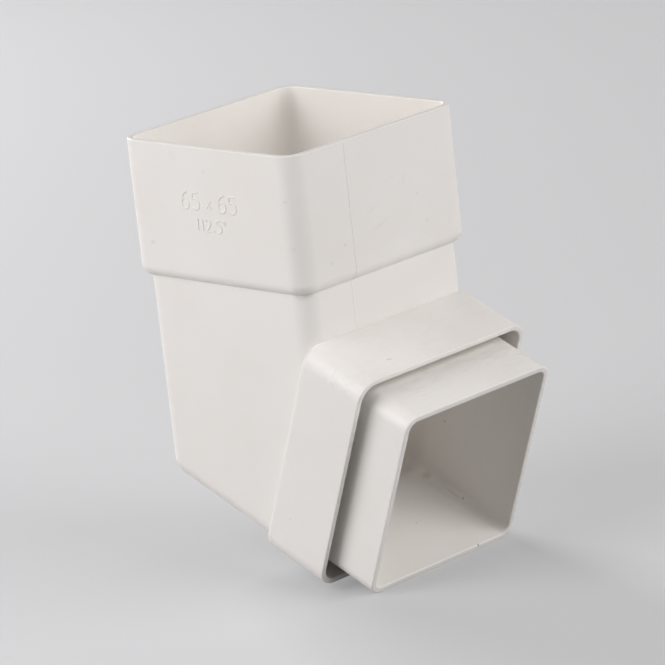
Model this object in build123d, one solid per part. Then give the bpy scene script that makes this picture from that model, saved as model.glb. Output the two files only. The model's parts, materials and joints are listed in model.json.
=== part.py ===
from build123d import *
import os
from math import cos, radians, sin, tan

# Offset bend for a square downpipe, one moulding in rigid plastic, sizes in millimetres and degrees.
# The pipe from above stands in the socket. The pipe below slides over the spigot, inside the shroud.
# The origin is the centre of the socket's pipe stop, with +Z up the socket and the outlet towards +X.

# The square pipe that the bend joins
PIPE_WIDTH = 65.0
PIPE_WALL = 2.0

# Turn of the flow from the inlet's axis to the outlet's
TURN = 67.5

# Inlet socket
SOCKET_CLEARANCE = 0.6
SOCKET_WALL = 1.9
SOCKET_DEPTH = 39.0
SOCKET_CORNER = 6.3
LEDGE = 2.0
COLLAR_SHOULDER = 3.2

# Mitred body
BODY_PROUD = 0.35
BODY_WALL = 1.9
BODY_CORNER = 5.9
HEEL_EXTRA = 0.6
NECK = 14.5

# Outlet: the web at the pipe's end, the spigot inside the pipe and the shroud round it
WEB = 2.0
SPIGOT_CLEARANCE = 0.325
SPIGOT_WALL = 1.8
SPIGOT_LENGTH = 36.0
SPIGOT_CORNER = 4.6
SHROUD_CLEARANCE = 0.7
SHROUD_WALL = 1.7
SHROUD_LENGTH = 21.0
SHROUD_CORNER = 6.5
SHROUD_BASE = 2.5
SHROUD_SHOULDER = 2.1

# Rounding of the rims
RIM_ROUND = 0.4

# Widths across the flats that follow from the pipe
socket_inner = PIPE_WIDTH + 2 * SOCKET_CLEARANCE
socket_outer = socket_inner + 2 * SOCKET_WALL
body_outer = PIPE_WIDTH + 2 * BODY_PROUD
body_inner = body_outer - 2 * BODY_WALL
spigot_outer = PIPE_WIDTH - 2 * PIPE_WALL - 2 * SPIGOT_CLEARANCE
spigot_inner = spigot_outer - 2 * SPIGOT_WALL
shroud_inner = PIPE_WIDTH + 2 * SHROUD_CLEARANCE
shroud_outer = shroud_inner + 2 * SHROUD_WALL

# The throat is the line where the top of the shroud runs into the front of the body.
turn = radians(TURN)
throat_height = (shroud_outer - body_outer * cos(turn)) / 2 / sin(turn)

# Height of the crossing of the two axes, and places along the outlet's axis from that crossing
crossing = -(throat_height + NECK + LEDGE)
web_back = body_inner / 2 * tan(turn / 2)
outlet_stop = web_back + WEB
shroud_rim = outlet_stop + SHROUD_LENGTH
spigot_mouth = outlet_stop + SPIGOT_LENGTH

inlet = Plane.XY
outlet = Plane(origin=(0, 0, crossing), x_dir=(0, 1, 0), z_dir=(sin(turn), 0, -cos(turn)))


def prism(plane, width, corner, start, end):
    """Square bar with rounded corners, from start to end along the plane's axis."""
    section = plane.offset(start) * RectangleRounded(width, width, corner)
    return extrude(section, end - start)


def collar(plane, width, corner, inner_width, crease, shoulder, end):
    """Bar whose back edge is rounded, so that its skin meets a narrower bar in a crease."""
    step = (width - inner_width) / 2
    radius = (shoulder**2 + step**2) / (2 * step)
    bar = prism(plane, width, corner, crease + shoulder - radius, end)
    back = bar.faces().sort_by(Axis(plane.origin, plane.z_dir))[0]
    return fillet(back.edges(), radius)


def elbow(width, corner, heel):
    """Both arms of the bend as one bar, up to the pipe stop and to the plane through the inner throat."""
    half = width / 2
    reach = half * tan(turn / 2)
    along_x = reach * sin(turn)
    along_z = -reach * cos(turn)
    heel_point = (-half, crossing - reach)
    toe_point = (along_x - half * cos(turn), crossing + along_z - half * sin(turn))
    throat_point = (half, crossing + reach)
    outline = Polyline((-half, 0), heel_point, toe_point, throat_point, (half, 0), close=True)
    side = make_face(Plane.XZ * outline)
    heel_corner = side.vertices().sort_by_distance((heel_point[0], 0, heel_point[1]))[0]
    side = fillet(heel_corner, heel)
    bar = extrude(side, half, both=True)
    ends = bar.faces().filter_by(Axis.Z) + bar.faces().filter_by(Axis(outlet.origin, outlet.z_dir))
    end_edges = ends.edges()
    sides = bar.faces().filter_by(Axis.Y)
    long_edges = [edge for edge in sides.edges() if edge not in end_edges]
    return fillet(long_edges, corner)


def outer_skin():
    """Outside of the body with the socket's collar on top and the shroud on the outlet."""
    body = elbow(body_outer, BODY_CORNER, BODY_CORNER + HEEL_EXTRA)
    socket = collar(inlet, socket_outer, SOCKET_CORNER, body_outer, -LEDGE, COLLAR_SHOULDER, SOCKET_DEPTH)
    crease = outlet_stop - SHROUD_BASE
    shroud = collar(outlet, shroud_outer, SHROUD_CORNER, body_outer, crease, SHROUD_SHOULDER, shroud_rim)
    return body + socket + shroud


def waterway():
    """Space inside the socket, the body and the spigot."""
    inner_corner = BODY_CORNER - BODY_WALL
    socket = prism(inlet, socket_inner, SOCKET_CORNER - SOCKET_WALL, 0, SOCKET_DEPTH)
    body = elbow(body_inner, inner_corner, inner_corner + HEEL_EXTRA)
    spigot = prism(outlet, spigot_inner, SPIGOT_CORNER - SPIGOT_WALL, 0, spigot_mouth)
    return socket + body + spigot


def offset_bend():
    """The whole moulding."""
    pipe_gap = prism(outlet, shroud_inner, SHROUD_CORNER - SHROUD_WALL, outlet_stop, shroud_rim)
    spigot = prism(outlet, spigot_outer, SPIGOT_CORNER, outlet_stop, spigot_mouth)
    bend = outer_skin() - pipe_gap + spigot - waterway()
    flow = Axis(outlet.origin, outlet.z_dir)
    socket_rim = bend.faces().sort_by(Axis.Z)[-1]
    outlet_rims = bend.faces().filter_by(flow).sort_by(flow)[-2:]
    rims = socket_rim.edges() + outlet_rims.edges()
    return fillet(rims, RIM_ROUND)


os.makedirs("parts", exist_ok=True)
export_step(offset_bend(), "parts/offset_bend.step")
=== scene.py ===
"""Studio scene of a moulded offset bend for a square downpipe.

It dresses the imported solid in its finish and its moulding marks, and adds the floor, the light and
the camera.
"""
import json
import logging
import math
from dataclasses import dataclass
from enum import Enum

import bmesh
import bpy
import numpy as np
from mathutils import Matrix, Vector
from numpy.typing import NDArray


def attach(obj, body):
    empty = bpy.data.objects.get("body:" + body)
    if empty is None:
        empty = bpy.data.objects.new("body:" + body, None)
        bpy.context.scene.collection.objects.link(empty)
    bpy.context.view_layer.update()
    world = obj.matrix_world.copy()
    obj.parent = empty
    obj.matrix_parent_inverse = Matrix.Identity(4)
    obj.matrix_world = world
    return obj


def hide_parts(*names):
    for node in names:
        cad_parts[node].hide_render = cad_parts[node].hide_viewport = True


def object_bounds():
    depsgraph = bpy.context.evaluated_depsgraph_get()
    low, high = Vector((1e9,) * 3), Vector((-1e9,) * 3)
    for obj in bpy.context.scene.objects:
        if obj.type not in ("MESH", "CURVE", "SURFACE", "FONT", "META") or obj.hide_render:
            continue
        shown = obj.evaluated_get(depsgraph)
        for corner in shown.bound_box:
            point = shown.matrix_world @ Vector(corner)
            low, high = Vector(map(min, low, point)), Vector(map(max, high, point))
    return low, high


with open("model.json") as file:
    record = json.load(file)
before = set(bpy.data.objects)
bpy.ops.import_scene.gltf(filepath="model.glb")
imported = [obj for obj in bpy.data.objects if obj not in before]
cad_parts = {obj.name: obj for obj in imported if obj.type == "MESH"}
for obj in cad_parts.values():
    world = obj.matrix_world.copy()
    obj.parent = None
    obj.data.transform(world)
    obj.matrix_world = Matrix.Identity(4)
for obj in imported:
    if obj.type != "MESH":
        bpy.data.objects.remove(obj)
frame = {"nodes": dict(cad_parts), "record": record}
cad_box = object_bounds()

LOG = logging.getLogger("offset_bend")
MM = 0.001
NODE = "offset_bend"
BODY = "root"

Array = NDArray[np.float64]
Colour = tuple[float, float, float, float]
Point = tuple[float, float, float]
Pair = tuple[float, float]
Socket = bpy.types.NodeSocket


class Wall(Enum):
    """Flat walls of the moulding that carry a mark."""

    SOCKET_SIDE = "outside of the socket towards -Y"
    SOCKET_FRONT = "outside of the socket towards +X"
    SHROUD_TOP = "top of the shroud"
    BORE_FLOOR = "lower inside wall of the spigot"
    BORE_SIDE = "inside wall of the spigot towards +Y"


@dataclass(frozen=True)
class WallAxes:
    """Place and directions of a flat wall, in metres.

    A point on the wall is origin + across * a + up * b, and out is the wall's normal.
    """

    origin: Array
    across: Array
    up: Array
    out: Array

    def at(self, places_mm: Array | Pair) -> Array:
        """Points on the wall, in metres, from pairs of millimetres across and up."""
        return self.origin + np.asarray(places_mm, float) @ np.stack([self.across, self.up]) * MM


@dataclass(frozen=True)
class Fitting:
    """Sizes of the moulding that the marks need, in millimetres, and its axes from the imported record.

    The socket is the widest and the highest part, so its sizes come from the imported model's box.
    """

    socket_half: float = round(-cad_box[0].y / MM, 3)
    socket_depth: float = round(cad_box[1].z / MM, 3)
    body_half: float = 32.85
    shroud_half: float = 34.9
    bore_half: float = 28.375
    shoulder: float = 3.2
    crease: float = -2.0
    throat: float = -16.5
    pipe_width: float = 65.0

    def mount(self, name: str) -> tuple[Array, Array]:
        """Place and direction of a mount.

        Args:
            name: The mount's name in the record.

        Returns:
            Its position in metres and its axis.
        """
        found = next(m for m in frame["record"]["mounts"] if m["name"] == name)
        return np.array(found["pos_m"], float), np.array(found["axis"], float)

    def axes(self, wall: Wall) -> WallAxes:
        """Place and directions of one wall.

        Args:
            wall: The wall that is asked for.

        Returns:
            Its axes. On the top and floor of the outlet across is sideways, on its side wall across is
            upwards, and on all three up is along the flow from the pipe stop.
        """
        x, y, z = np.eye(3)
        stop, flow = self.mount("outlet_spigot")
        above = np.cross(flow, y)
        above = above * np.sign(above[2])
        halves = (self.socket_half, self.shroud_half, self.bore_half)
        socket, shroud, bore = (half * MM for half in halves)
        return {
            Wall.SOCKET_SIDE: WallAxes(-y * socket, x, z, -y),
            Wall.SOCKET_FRONT: WallAxes(x * socket, y, z, x),
            Wall.SHROUD_TOP: WallAxes(stop + above * shroud, y, flow, above),
            Wall.BORE_FLOOR: WallAxes(stop - above * bore, y, flow, above),
            Wall.BORE_SIDE: WallAxes(stop + y * bore, above, flow, -y),
        }[wall]


class ShaderSheet:
    """Node tree of a material or a world, with short calls that add and link nodes."""

    def __init__(self, owner: bpy.types.Material | bpy.types.World) -> None:
        """Empty the owner's node tree.

        Args:
            owner: The new material or world.
        """
        self.owner = owner
        owner.use_nodes = True
        self.tree = owner.node_tree
        self.tree.nodes.clear()

    def node(self, kind: str, values: dict | None = None, **settings: object) -> bpy.types.Node:
        """Add one node.

        Args:
            kind: The node's type name without the ShaderNode prefix.
            values: Value or output socket for each input, by the input's name or number.
            settings: Properties of the node itself.

        Returns:
            The new node.
        """
        made = self.tree.nodes.new("ShaderNode" + kind)
        for name, setting in settings.items():
            setattr(made, name, setting)
        for key, value in (values or {}).items():
            if isinstance(value, Socket):
                self.tree.links.new(value, made.inputs[key])
            else:
                made.inputs[key].default_value = value
        return made

    def maths(self, operation: str, *values: object) -> Socket:
        """Result of a Math node on up to three values."""
        return self.node("Math", dict(enumerate(values)), operation=operation).outputs[0]

    def dot(self, vector: Socket, way: Array) -> Socket:
        """Dot product of a vector with a fixed one."""
        made = self.node("VectorMath", {0: vector, 1: tuple(way)}, operation="DOT_PRODUCT")
        return made.outputs["Value"]

    def noise(self, where: Socket, per_metre: float, detail: float) -> Socket:
        """Noise value from 0 to 1 with the given number of cells in a metre."""
        values = {"Vector": where, "Scale": per_metre, "Detail": detail}
        return self.node("TexNoise", values).outputs["Fac"]

    def ramp(self, value: Socket, low: float, high: float, start: float = 0.0, end: float = 1.0) -> Socket:
        """Smooth step of a value.

        Args:
            value: The socket that is read.
            low: The value that gives start.
            high: The value that gives end.
            start: Result at low, and beyond it on the side away from high.
            end: Result at high, and beyond it on the side away from low.

        Returns:
            The stepped value.
        """
        values = {"Value": value, "From Min": low, "From Max": high, "To Min": start, "To Max": end}
        return self.node("MapRange", values, interpolation_type="SMOOTHSTEP").outputs["Result"]

    def seen(self) -> Socket:
        """1 for what the camera sees, straight or through a reflection or glass, and 0 for soft light."""
        path = self.node("LightPath").outputs
        mirrored = self.maths("MAXIMUM", path["Is Camera Ray"], path["Is Glossy Ray"])
        return self.maths("MAXIMUM", mirrored, path["Is Transmission Ray"])

    def blend(self, share: Socket, under: object, over: object) -> Socket:
        """Colour between under and over, by share from 0 to 1."""
        made = self.node("Mix", {0: share, 6: under, 7: over}, data_type="RGBA")
        return made.outputs[2]


@dataclass(frozen=True)
class Blemish:
    """Small stain, pit or scratch at a known place on a wall, all lengths in millimetres.

    Core is the share of its radius that has its full strength.
    """

    wall: Wall
    across: float
    up: float
    length: float
    width: float
    turn_deg: float
    colour: Colour
    strength: float
    depth: float = 2.0
    core: float = 0.35

    def mask(self, sheet: ShaderSheet, where: Socket, fitting: Fitting) -> Socket:
        """Soft elliptical spot: its strength in its core, and 0 past its half length and half width.

        Args:
            sheet: The material's nodes.
            where: Object coordinates.
            fitting: The moulding that carries the wall.

        Returns:
            The spot's strength at each point.
        """
        axes = fitting.axes(self.wall)
        turn = math.radians(self.turn_deg)
        along = axes.across * math.cos(turn) + axes.up * math.sin(turn)
        beside = axes.up * math.cos(turn) - axes.across * math.sin(turn)
        rows = np.array([along / self.length, beside / self.width, axes.out / self.depth]) * 2 / MM
        centre = axes.at((self.across, self.up))
        offset = sheet.node("VectorMath", {0: where, 1: tuple(-centre)}, operation="ADD").outputs[0]
        parts = [sheet.dot(offset, row) for row in rows]
        local = sheet.node("CombineXYZ", dict(enumerate(parts))).outputs[0]
        distance = sheet.node("VectorMath", {0: local}, operation="LENGTH").outputs["Value"]
        return sheet.ramp(distance, 1.0, self.core, 0.0, self.strength)


DARK: Colour = (0.22, 0.20, 0.18, 1.0)
GREY: Colour = (0.40, 0.38, 0.36, 1.0)
BROWN: Colour = (0.38, 0.27, 0.14, 1.0)

# Each mark gives its wall, its place across and up, its length and width, its turn, its colour and its
# strength. A mark that reaches round a corner gives its depth too.
MARKS = (
    Blemish(Wall.SOCKET_FRONT, -16.9, 9.2, 1.4, 1.1, 0.0, GREY, 0.22),
    Blemish(Wall.SOCKET_FRONT, -22.8, 5.3, 1.5, 1.5, 0.0, GREY, 0.16),
    Blemish(Wall.SOCKET_FRONT, 14.2, 16.5, 1.4, 1.2, 0.0, GREY, 0.16),
    Blemish(Wall.SOCKET_FRONT, 17.3, 7.8, 1.4, 1.2, 0.0, GREY, 0.16),
    Blemish(Wall.SOCKET_FRONT, -2.3, 11.3, 9.5, 0.9, 17.6, GREY, 0.10),
    Blemish(Wall.SOCKET_FRONT, -4.5, 16.5, 7.5, 1.2, 9.0, GREY, 0.05),
    Blemish(Wall.SOCKET_FRONT, 4.8, 24.0, 2.2, 1.0, 0.0, GREY, 0.10),
    Blemish(Wall.SOCKET_FRONT, 9.2, 22.4, 4.5, 0.8, 75.0, GREY, 0.10),
    Blemish(Wall.SOCKET_SIDE, -12.6, 35.6, 5.5, 4.0, -50.0, GREY, 0.04),
    Blemish(Wall.SOCKET_SIDE, -0.6, 31.9, 2.4, 1.0, 80.0, GREY, 0.09),
    Blemish(Wall.SOCKET_SIDE, -25.3, 8.8, 3.2, 1.5, 25.0, GREY, 0.16),
    Blemish(Wall.SOCKET_SIDE, 32.0, 12.0, 1.8, 1.4, 0.0, GREY, 0.16, 4.0),
    Blemish(Wall.SOCKET_SIDE, 31.0, 25.8, 1.6, 1.2, 0.0, GREY, 0.14, 4.0),
    Blemish(Wall.SHROUD_TOP, -17.4, 15.0, 3.2, 0.6, 11.5, GREY, 0.55),
    Blemish(Wall.BORE_SIDE, -27.3, 3.0, 4.5, 3.0, 70.0, BROWN, 0.24, 5.0),
    # A grey line along the corner between this wall and the spigot's floor, darker along that corner.
    Blemish(Wall.BORE_SIDE, -27.3, 14.0, 1.0, 9.0, 0.0, GREY, 0.25, 4.0),
    Blemish(Wall.BORE_SIDE, -26.9, 17.8, 1.0, 1.0, 0.0, DARK, 0.5, 3.0),
    Blemish(Wall.BORE_SIDE, -7.2, 4.7, 1.2, 1.2, 0.0, DARK, 0.3),
    Blemish(Wall.BORE_FLOOR, 7.7, 18.2, 1.2, 0.9, 0.0, GREY, 0.35),
    Blemish(Wall.BORE_FLOOR, 15.8, 35.9, 1.1, 0.8, 0.0, DARK, 0.6),
)


@dataclass(frozen=True)
class Patches:
    """Soft patches of noise, which begin at its low value and are full at its high one."""

    per_metre: float
    detail: float
    low: float
    high: float

    def share(self, sheet: ShaderSheet, where: Socket, start: float = 0.0, end: float = 1.0) -> Socket:
        """Value that goes from start, between the patches, to end, inside them."""
        return sheet.ramp(sheet.noise(where, self.per_metre, self.detail), self.low, self.high, start, end)


@dataclass(frozen=True)
class OutletRubs:
    """Faint streaks across the top of the outlet, with lengths in millimetres.

    They begin behind the pipe stop and fade towards the mouth. Depths are measured down from the shroud's
    top: the streaks begin over the first pair, under the spigot's top, and change to their strength on the
    shroud over the second.
    """

    streaks: Patches = Patches(850.0, 6.0, 0.44, 0.66)
    patches: Patches = Patches(75.0, 2.0, 0.30, 0.56)
    sideways_scale: float = 0.25
    on_spigot: float = 0.11
    on_shroud: float = 0.035
    behind_stop: float = 3.0
    fade_past_stop: Pair = (26.0, 33.0)
    left_at_mouth: float = 0.35
    begin_depths: Pair = (7.0, 5.5)
    shroud_depths: Pair = (3.0, 1.0)

    def share(self, sheet: ShaderSheet, where: Socket, fitting: Fitting) -> Socket:
        """Strength of the streaks at each point.

        Args:
            sheet: The material's nodes.
            where: Object coordinates.
            fitting: The moulding, for the outlet's directions and heights.

        Returns:
            The strength.
        """
        top = fitting.axes(Wall.SHROUD_TOP)
        along, sideways, height = (sheet.dot(where, way) for way in (top.up, top.across, top.out))
        narrowed = sheet.maths("MULTIPLY", sideways, self.sideways_scale)
        stretched = sheet.node("CombineXYZ", {0: along, 1: narrowed, 2: height}).outputs[0]
        stop = float(top.origin @ top.up)
        skin = float(top.origin @ top.out)
        fade = (stop + run * MM for run in self.fade_past_stop)
        begin = (skin - depth * MM for depth in self.begin_depths)
        change = (skin - depth * MM for depth in self.shroud_depths)
        streaks = self.streaks.share(sheet, stretched)
        share = sheet.maths("MULTIPLY", streaks, self.patches.share(sheet, where))
        for limit in (
            sheet.ramp(along, stop - self.behind_stop * MM, stop),
            sheet.ramp(along, *fade, 1.0, self.left_at_mouth),
            sheet.ramp(height, *begin),
            sheet.ramp(height, *change, self.on_spigot, self.on_shroud),
        ):
            share = sheet.maths("MULTIPLY", share, limit)
        return share


@dataclass(frozen=True)
class WhitePvc:
    """Semi-gloss moulded white PVC with faint mottling, waviness, specks, handling marks and painted shade
    on the top of the socket's rim.

    Speck reach and chance are the Voronoi distances and cell values over which a speck fades in.
    """

    colour: Colour = (0.88, 0.855, 0.812, 1.0)
    shade: Colour = (0.858, 0.829, 0.782, 1.0)
    # Grey of the specks and streaks, and of the painted shade on the top of the socket's rim.
    speck_and_shade: Colour = (0.36, 0.33, 0.30, 1.0)
    mottling: Patches = Patches(32.0, 3.0, 0.35, 0.75)
    specks_per_metre: float = 160.0
    speck_reach: Pair = (0.045, 0.015)
    speck_chance: Pair = (0.90, 0.96)
    speck_strength: float = 0.5
    rubs: OutletRubs = OutletRubs()
    # Painted shade on the top flat of the socket's rim: the depths below its top over which it comes in,
    # and its strength.
    rim_shade_depths_mm: Pair = (0.2, 0.04)
    rim_shade: float = 0.28
    scuff_turn: Point = (0.4, 0.7, 0.3)
    scuff_scale: Point = (1.0, 9.0, 1.0)
    scuff_lines: Patches = Patches(190.0, 4.0, 0.60, 0.74)
    scuff_patches: Patches = Patches(45.0, 2.0, 0.52, 0.66)
    scuff_dulling: float = 0.18
    drift: Patches = Patches(260.0, 3.0, 0.3, 0.7)
    roughness: Pair = (0.34, 0.46)
    ior: float = 1.53
    waves_per_metre: float = 70.0
    wave_mm: float = 0.02
    grains_per_metre: float = 5200.0
    grain_mm: float = 0.0012
    pit_in_grains: float = 6.0
    blemishes: tuple[Blemish, ...] = ()

    def material(self, fitting: Fitting) -> bpy.types.Material:
        """Node material of the finish.

        Args:
            fitting: The moulding, for the places of the blemishes.

        Returns:
            The material.
        """
        sheet = ShaderSheet(bpy.data.materials.new("white_pvc_finish"))
        where = sheet.node("TexCoord").outputs["Object"]
        specks = self.specks(sheet, where)
        colour = sheet.blend(self.mottling.share(sheet, where), self.colour, self.shade)
        # Specks and streaks are marks on the skin; the rim's mask is painted shade on its top flat.
        for grey in (specks, self.rubs.share(sheet, where, fitting), self.rim(sheet, where, fitting)):
            colour = sheet.blend(grey, colour, self.speck_and_shade)
        for blemish in self.blemishes:
            colour = sheet.blend(blemish.mask(sheet, where, fitting), colour, blemish.colour)
        values = {
            "Base Color": colour,
            "Roughness": self.gloss(sheet, where),
            "IOR": self.ior,
            "Normal": self.relief(sheet, where, specks),
        }
        shader = sheet.node("BsdfPrincipled", values)
        sheet.node("OutputMaterial", {"Surface": shader.outputs[0]})
        return sheet.owner

    def specks(self, sheet: ShaderSheet, where: Socket) -> Socket:
        """Mask of sparse specks, one in some of the cells of a Voronoi pattern."""
        cells = sheet.node("TexVoronoi", {"Vector": where, "Scale": self.specks_per_metre})
        chosen = sheet.node("SeparateColor", {0: cells.outputs["Color"]}).outputs[0]
        near = sheet.ramp(cells.outputs["Distance"], *self.speck_reach)
        strength = sheet.ramp(chosen, *self.speck_chance, 0.0, self.speck_strength)
        return sheet.maths("MULTIPLY", near, strength)

    def rim(self, sheet: ShaderSheet, where: Socket, fitting: Fitting) -> Socket:
        """Mask of painted shade that makes the flat on top of the socket's rim slightly greyer, where it
        faces up and less light falls on it.
        """
        low, high = (fitting.socket_depth - depth for depth in self.rim_shade_depths_mm)
        height = sheet.node("SeparateXYZ", {0: where}).outputs["Z"]
        return sheet.ramp(height, low * MM, high * MM, 0.0, self.rim_shade)

    def gloss(self, sheet: ShaderSheet, where: Socket) -> Socket:
        """Roughness that drifts between its limits and rises on faint slanting scuffs in broad patches."""
        values = {"Vector": where, "Rotation": self.scuff_turn, "Scale": self.scuff_scale}
        stretched = sheet.node("Mapping", values).outputs[0]
        lines = self.scuff_lines.share(sheet, stretched)
        scuffs = sheet.maths("MULTIPLY", lines, self.scuff_patches.share(sheet, where))
        drift = self.drift.share(sheet, where, *self.roughness)
        return sheet.maths("MULTIPLY_ADD", scuffs, self.scuff_dulling, drift)

    def relief(self, sheet: ShaderSheet, where: Socket, specks: Socket) -> Socket:
        """Normal of the slightly wavy moulded skin, with a fine grain and a pit at each speck."""
        waves = sheet.noise(where, self.waves_per_metre, detail=1.0)
        wavy = sheet.node("Bump", {"Distance": self.wave_mm * MM, "Height": waves}).outputs[0]
        grain = sheet.noise(where, self.grains_per_metre, detail=2.0)
        height = sheet.maths("MULTIPLY_ADD", specks, -self.pit_in_grains, grain)
        values = {"Distance": self.grain_mm * MM, "Height": height, "Normal": wavy}
        return sheet.node("Bump", values).outputs[0]


@dataclass(frozen=True)
class Moulding:
    """The bend itself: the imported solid's surface with its rounded corners shaded smooth."""

    weld_mm: float = 0.001
    crease_deg: float = 24.0
    flat_weight: int = 100

    def build(self) -> bpy.types.Object:
        """Copy the node's mesh, join its loose triangles and shade it smooth up to its creases.

        Returns:
            The piece that stands for the node.
        """
        mesh = frame["nodes"][NODE].data.copy()
        mesh.name = "moulding"
        if mesh.has_custom_normals:
            mesh.attributes.remove(mesh.attributes["custom_normal"])
        surface = bmesh.new()
        surface.from_mesh(mesh)
        bmesh.ops.remove_doubles(surface, verts=surface.verts, dist=self.weld_mm * MM)
        surface.to_mesh(mesh)
        surface.free()
        mesh.shade_smooth()
        mesh.set_sharp_from_angle(angle=math.radians(self.crease_deg))
        piece = bpy.data.objects.new("moulding", mesh)
        bpy.context.scene.collection.objects.link(piece)
        even = piece.modifiers.new("flat walls stay flat", "WEIGHTED_NORMAL")
        even.keep_sharp = True
        even.weight = self.flat_weight
        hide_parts(NODE)
        return piece


@dataclass(frozen=True)
class Bead:
    """Low rounded rib that stands on the moulding's skin, with lengths in millimetres.

    Least end is the share of its section that is left at each end.
    """

    width: float
    height: float
    sunk: float = 0.05
    step: float = 0.08
    least_steps: int = 8
    top_points: int = 9
    least_end: float = 0.15

    def rings(self, path: Array, out: Array) -> Array:
        """Sections of the rib along its path.

        The path is cut into even steps. The section at a step is half an ellipse on a flat foot: beside
        is width / 2 * cos(a) and above is height * sin(a), with a from 0 to pi, and the foot is sunk in
        the skin. At a distance d from an end, under half a width, it shrinks by
        sqrt(1 - (1 - 2 * d / width)**2), but not below its least end, so that the ends are round.

        Args:
            path: Points of the rib's centre line on the skin.
            out: The skin's normal at each of them.

        Returns:
            The points by section, then round the section, then by coordinate.
        """
        run = np.append(0.0, np.cumsum(np.linalg.norm(np.diff(path, axis=0), axis=1)))
        steps = max(self.least_steps, round(run[-1] / self.step))
        place = np.linspace(0.0, run[-1], steps + 1)
        centre, normal = (
            np.stack([np.interp(place, run, axis) for axis in given.T], axis=1) for given in (path, out)
        )
        ahead = np.gradient(centre, axis=0)
        beside = np.cross(normal, ahead)
        normal, beside = (way / np.linalg.norm(way, axis=1, keepdims=True) for way in (normal, beside))
        lack = np.clip(1.0 - 2.0 * np.minimum(place, run[-1] - place) / self.width, 0.0, 1.0)
        scale = np.maximum(np.sqrt(1.0 - lack**2), self.least_end)[:, None]
        angle = np.linspace(0.0, np.pi, self.top_points)
        across = scale * np.append(np.cos(angle), [-1.0, 1.0]) * self.width / 2
        above = scale * np.append(np.sin(angle), [0.0, 0.0]) * self.height
        above[:, -2:] = -self.sunk
        return centre[:, None] + beside[:, None] * across[..., None] + normal[:, None] * above[..., None]


def closed_tubes(name: str, tubes: list[Array], crease_deg: float = 50.0) -> bpy.types.Object:
    """One piece from rows of sections: quads between neighbouring sections and a flat cap on each end.

    Args:
        name: The piece's name.
        tubes: For each tube, its points by section, then round the section, in millimetres.
        crease_deg: The angle past which an edge stays sharp.

    Returns:
        The piece, with its faces outwards where each section runs round its path by the right hand.
    """
    faces = []
    first = 0
    for tube in tubes:
        grid = first + np.arange(tube[..., 0].size).reshape(tube.shape[:2])
        turned = np.roll(grid, -1, axis=1)
        quads = np.stack([grid[:-1], turned[:-1], turned[1:], grid[1:]], axis=-1)
        faces += quads.reshape(-1, 4).tolist() + [grid[0, ::-1].tolist(), grid[-1].tolist()]
        first += grid.size
    points = np.vstack([tube.reshape(-1, 3) for tube in tubes]) * MM
    mesh = bpy.data.meshes.new(name)
    mesh.from_pydata(points.tolist(), [], faces)
    mesh.shade_smooth()
    mesh.set_sharp_from_angle(angle=math.radians(crease_deg))
    piece = bpy.data.objects.new(name, mesh)
    bpy.context.scene.collection.objects.link(piece)
    return piece


@dataclass(frozen=True)
class WitnessLine:
    """Fine raised line that the mould leaves down the front of the socket and the body, in millimetres."""

    socket_across: float = -13.15
    body_across: float = -13.7
    below_rim: float = 0.5
    shoulder_points: int = 24
    bead: Bead = Bead(width=0.55, height=0.11)
    body_bead: Bead = Bead(width=0.5, height=0.05)

    def build(self, fitting: Fitting) -> bpy.types.Object:
        """Carry one bead down the socket and round its shoulder to the crease, and one on to the throat.

        Args:
            fitting: The moulding's sizes.

        Returns:
            The piece.
        """
        tubes = [self.bead.rings(*self.on_socket(fitting)), self.body_bead.rings(*self.on_body(fitting))]
        return closed_tubes("witness_line", tubes)

    def on_socket(self, fitting: Fitting) -> tuple[Array, Array]:
        """Line from the rim to the crease.

        Round the shoulder, x = socket_half - r + r * cos(a) and z = crease + shoulder + r * sin(a), where
        r is the radius that spans the collar's step over the shoulder's height.

        Args:
            fitting: The moulding's sizes.

        Returns:
            Its points and the skin's normal at each of them.
        """
        step = fitting.socket_half - fitting.body_half
        radius = (fitting.shoulder**2 + step**2) / (2 * step)
        angle = np.linspace(0.0, -math.asin(fitting.shoulder / radius), self.shoulder_points)
        round_x = fitting.socket_half - radius + radius * np.cos(angle)
        round_z = fitting.crease + fitting.shoulder + radius * np.sin(angle)
        x = np.append(fitting.socket_half, round_x)
        z = np.append(fitting.socket_depth - self.below_rim, round_z)
        tilt = np.append(0.0, angle)
        level = np.zeros_like(tilt)
        points = np.stack([x, level + self.socket_across, z], axis=1)
        return points, np.stack([np.cos(tilt), level, np.sin(tilt)], axis=1)

    def on_body(self, fitting: Fitting) -> tuple[Array, Array]:
        """Line from the crease to the throat.

        Args:
            fitting: The moulding's sizes.

        Returns:
            Its two ends and the skin's normal at each of them.
        """
        heights = (fitting.crease, fitting.throat)
        ends = [(fitting.body_half, self.body_across, height) for height in heights]
        return np.array(ends), np.tile((1.0, 0.0, 0.0), (len(ends), 1))


def arc(centre: Pair, radii: Pair, start_deg: float, end_deg: float, points: int = 49) -> Array:
    """Part of an ellipse: centre + radii * (cos(a), sin(a)), with a running from start to end."""
    angle = np.radians(np.linspace(start_deg, end_deg, points))
    return np.array(centre) + np.array(radii) * np.stack([np.cos(angle), np.sin(angle)], axis=1)


def line(start: Pair, end: Pair) -> Array:
    """The two ends of a straight stroke."""
    return np.array([start, end], float)


@dataclass(frozen=True)
class Figure:
    """One figure as the centre lines of its strokes, in a box one unit high."""

    width: float
    strokes: tuple[Array, ...]


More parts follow.
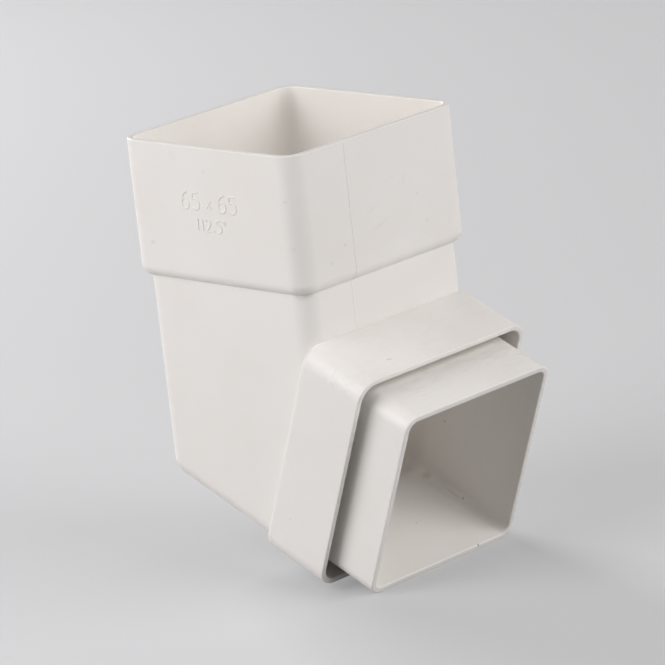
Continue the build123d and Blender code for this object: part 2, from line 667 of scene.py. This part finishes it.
FIGURES = {
    "1": Figure(0.30, (line((0.02, 0.80), (0.24, 1.0)), line((0.24, 1.0), (0.24, 0.0)))),
    "2": Figure(
        0.58,
        (
            arc((0.29, 0.71), (0.28, 0.29), 160.0, -38.0),
            line((0.51, 0.53), (0.0, 0.0)),
            line((0.0, 0.0), (0.58, 0.0)),
        ),
    ),
    "5": Figure(
        0.58,
        (
            line((0.54, 1.0), (0.08, 1.0)),
            line((0.08, 1.0), (0.05, 0.56)),
            arc((0.26, 0.32), (0.32, 0.32), 130.0, -140.0),
        ),
    ),
    "6": Figure(
        0.60,
        (arc((0.50, 0.30), (0.50, 0.70), 85.0, 180.0), arc((0.30, 0.30), (0.30, 0.30), 180.0, 540.0)),
    ),
    ".": Figure(0.10, (line((0.05, 0.0), (0.05, 0.16)),)),
    "x": Figure(0.42, (line((0.0, 0.12), (0.42, 0.62)), line((0.0, 0.62), (0.42, 0.12)))),
    " ": Figure(0.05, ()),
    "°": Figure(0.26, (arc((0.13, 0.87), (0.13, 0.13), 0.0, 360.0),)),
}


@dataclass(frozen=True)
class FigureLine:
    """One row of figures, with its foot and height in millimetres and its gaps as a share of the height."""

    text: str
    foot: float
    height: float
    gap: float = 0.26

    def strokes(self) -> list[Array]:
        """Centre lines of the whole row, centred on the wall.

        Returns:
            One array of places across and up for each stroke.
        """
        figures = [FIGURES[sign] for sign in self.text]
        starts = np.cumsum([0.0] + [figure.width + self.gap for figure in figures])
        shift = (starts[-1] - self.gap) / 2
        return [
            (stroke + (start - shift, 0.0)) * self.height + (0.0, self.foot)
            for figure, start in zip(figures, starts)
            for stroke in figure.strokes
        ]


@dataclass(frozen=True)
class SizeFigures:
    """Raised figures on the socket's side: the pipe's width, and under it the angle between the arms.

    Feet and heights are in millimetres.
    """

    foot: float = 20.4
    height: float = 5.0
    angle_foot: float = 14.2
    angle_height: float = 3.6
    bead: Bead = Bead(width=0.7, height=0.2)

    def build(self, fitting: Fitting) -> bpy.types.Object:
        """Carry the bead along every stroke.

        Args:
            fitting: The moulding, for the pipe's width, the turn of the flow and the wall.

        Returns:
            The piece.
        """
        flow = fitting.mount("outlet_spigot")[1]
        angle = 90.0 - math.degrees(math.asin(flow[2]))
        rows = (
            FigureLine("{0:.0f} x {0:.0f}".format(fitting.pipe_width), self.foot, self.height),
            FigureLine(f"{angle:.1f}°", self.angle_foot, self.angle_height),
        )
        wall = fitting.axes(Wall.SOCKET_SIDE)
        tubes = [
            self.bead.rings(wall.at(stroke) / MM, np.tile(wall.out, (len(stroke), 1)))
            for row in rows
            for stroke in row.strokes()
        ]
        return closed_tubes("size_figures", tubes)


def direction(azimuth_deg: float, elevation_deg: float) -> Vector:
    """Unit vector towards a viewer at that azimuth, where 0 is -Y and 90 is +X, and that elevation."""
    azimuth, elevation = math.radians(azimuth_deg), math.radians(elevation_deg)
    level = math.cos(elevation)
    return Vector((math.sin(azimuth) * level, -math.cos(azimuth) * level, math.sin(elevation)))


@dataclass(frozen=True)
class Softbox:
    """Square studio light aimed at the moulding, with lengths in metres."""

    name: str
    azimuth_deg: float
    elevation_deg: float
    watts: float
    size: float = 1.1
    distance: float = 1.3
    tint: Point = (1.0, 0.98, 0.995)

    def build(self, aim: Vector) -> bpy.types.Object:
        """Place the light on a sphere round the aim.

        Args:
            aim: The point that it faces.

        Returns:
            The light's object.
        """
        data = bpy.data.lights.new(self.name, "AREA")
        data.shape = "SQUARE"
        data.size = self.size
        data.energy = self.watts
        data.color = self.tint
        lamp = bpy.data.objects.new(self.name, data)
        back = direction(self.azimuth_deg, self.elevation_deg)
        lamp.location = aim + back * self.distance
        lamp.rotation_mode = "QUATERNION"
        lamp.rotation_quaternion = back.to_track_quat("Z", "Y")
        bpy.context.scene.collection.objects.link(lamp)
        return lamp


@dataclass(frozen=True)
class Studio:
    """Pale floor, even surroundings and softboxes, with lengths in metres.

    Floor lift is the share of the backdrop's colour that the camera sees added to the floor, and the
    backdrop darkens overhead between the two sines of elevation in overhead_from.
    """

    floor_colour: Colour = (0.34, 0.342, 0.345, 1.0)
    floor_roughness: float = 0.7
    floor_half: float = 6.0
    floor_lift: float = 0.5
    world_colour: Colour = (1.0, 1.0, 1.0, 1.0)
    world_strength: float = 0.05
    backdrop: Colour = (0.48, 0.485, 0.49, 1.0)
    overhead: Colour = (0.06, 0.06, 0.06, 1.0)
    overhead_from: Pair = (0.08, 0.24)
    aim: Point = (0.01, 0.0, -0.03)
    lights: tuple[Softbox, ...] = (
        Softbox("left softbox", -20.0, 20.0, 7.4),
        Softbox("upper left softbox", -20.0, 39.0, 8.1),
        Softbox("right softbox", 110.0, 28.0, 13.2),
        Softbox("back left softbox", 256.0, 27.0, 10.3, size=0.5),
        Softbox("back right softbox", 185.0, 20.0, 2.0),
    )

    def build(self) -> None:
        """Make the floor, the world and the lights."""
        self.floor()
        self.world()
        for light in self.lights:
            light.build(Vector(self.aim))

    def floor(self) -> bpy.types.Object:
        """Square floor through the lowest point of the moulding."""
        level = cad_box[0].z
        half = self.floor_half
        corners = [(-half, -half, level), (half, -half, level), (half, half, level), (-half, half, level)]
        mesh = bpy.data.meshes.new("floor")
        mesh.from_pydata(corners, [], [(0, 1, 2, 3)])
        sheet = ShaderSheet(bpy.data.materials.new("pale_floor"))
        values = {
            "Base Color": self.floor_colour,
            "Roughness": self.floor_roughness,
            "Emission Color": self.backdrop,
            "Emission Strength": sheet.maths("MULTIPLY", sheet.seen(), self.floor_lift),
        }
        shader = sheet.node("BsdfPrincipled", values)
        sheet.node("OutputMaterial", {"Surface": shader.outputs[0]})
        mesh.materials.append(sheet.owner)
        ground = bpy.data.objects.new("floor", mesh)
        bpy.context.scene.collection.objects.link(ground)
        return ground

    def world(self) -> None:
        """Dim even light from all round; the camera sees a pale backdrop that darkens overhead."""
        sheet = ShaderSheet(bpy.data.worlds.new("studio"))
        light = sheet.node("Background", {"Color": self.world_colour, "Strength": self.world_strength})
        way = sheet.node("TexCoord").outputs["Generated"]
        height = sheet.node("SeparateXYZ", {0: way}).outputs["Z"]
        shown = sheet.blend(sheet.ramp(height, *self.overhead_from), self.backdrop, self.overhead)
        pale = sheet.node("Background", {"Color": shown})
        choice = sheet.node("MixShader", {0: sheet.seen(), 1: light.outputs[0], 2: pale.outputs[0]})
        sheet.node("OutputWorld", {"Surface": choice.outputs[0]})
        bpy.context.scene.world = sheet.owner


@dataclass(frozen=True)
class PhotoCamera:
    """Long lens that looks at the moulding from its front left, slightly above and rolled."""

    azimuth_deg: float = 45.7635
    elevation_deg: float = 15.263
    roll_deg: float = -6.4014
    distance: float = 1.3311226
    aim: Point = (0.00892, -0.00030, -0.02414)
    lens_mm: float = 247.15
    sensor_mm: float = 36.0
    clip: Pair = (0.05, 50.0)

    def build(self) -> bpy.types.Object:
        """Make the camera and give it to the scene.

        Returns:
            The camera's object.
        """
        data = bpy.data.cameras.new("camera")
        data.sensor_fit = "HORIZONTAL"
        data.sensor_width = self.sensor_mm
        data.lens = self.lens_mm
        data.clip_start, data.clip_end = self.clip
        camera = bpy.data.objects.new("camera", data)
        back = direction(self.azimuth_deg, self.elevation_deg)
        level = back.to_track_quat("Z", "Y").to_matrix().to_4x4()
        roll = Matrix.Rotation(math.radians(self.roll_deg), 4, "Z")
        camera.matrix_world = Matrix.Translation(Vector(self.aim) + back * self.distance) @ level @ roll
        bpy.context.scene.collection.objects.link(camera)
        bpy.context.scene.camera = camera
        return camera


def finish_piece(piece: bpy.types.Object, material: bpy.types.Material) -> None:
    """Give a piece its material, slot and body, and report it.

    Args:
        piece: A finished mesh object at the origin.
        material: The finish that it wears.
    """
    piece.data.materials.clear()
    piece.data.materials.append(material)
    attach(piece, BODY)
    LOG.info("%s: %d faces", piece.name, len(piece.data.polygons))


def main() -> None:
    """Build the pieces, their finish, the studio and the camera."""
    logging.basicConfig(level=logging.INFO, format="%(name)s: %(message)s")
    bpy.context.scene.view_settings.view_transform = "Standard"
    fitting = Fitting()
    material = WhitePvc(blemishes=MARKS).material(fitting)
    for piece in (Moulding().build(), WitnessLine().build(fitting), SizeFigures().build(fitting)):
        finish_piece(piece, material)
    Studio().build()
    PhotoCamera().build()


if __name__ == "__main__":
    main()
